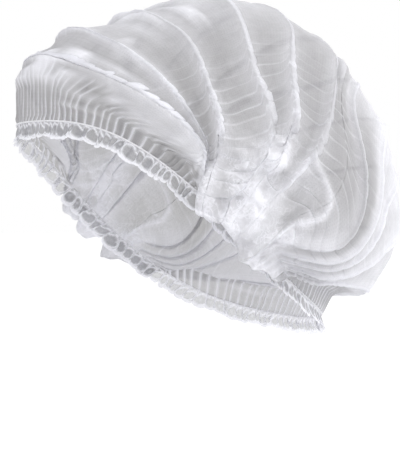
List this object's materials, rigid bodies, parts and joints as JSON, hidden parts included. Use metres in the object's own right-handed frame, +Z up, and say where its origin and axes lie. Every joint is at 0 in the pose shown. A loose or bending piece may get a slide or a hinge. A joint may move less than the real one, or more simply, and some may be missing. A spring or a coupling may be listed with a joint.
{
  "type": "disposable hairnet cap",
  "caption": "Thin white pleated cap drawn in by an elastic edge, with folds running from ear to ear and a small frill below the elastic.",
  "frame": {"origin": "centre of the oval opening that the head goes into, at the mean height of its edge", "axes": "+Z up through the crown, -Y towards the forehead, +X towards the wearer's left side"},
  "size_m": [0.1886, 0.2298, 0.1938],
  "materials": {
    "nonwoven_fabric": "thin translucent white nonwoven, soft and matt",
    "elastic": "white covered elastic thread, matt",
    "nonwoven_edge": "the same nonwoven gathered small, so denser and whiter"
  },
  "bodies": {
    "root": {"crown": "nonwoven_fabric", "elastic_cord": "elastic", "edge_frill": "nonwoven_edge"}
  },
  "joints": []
}
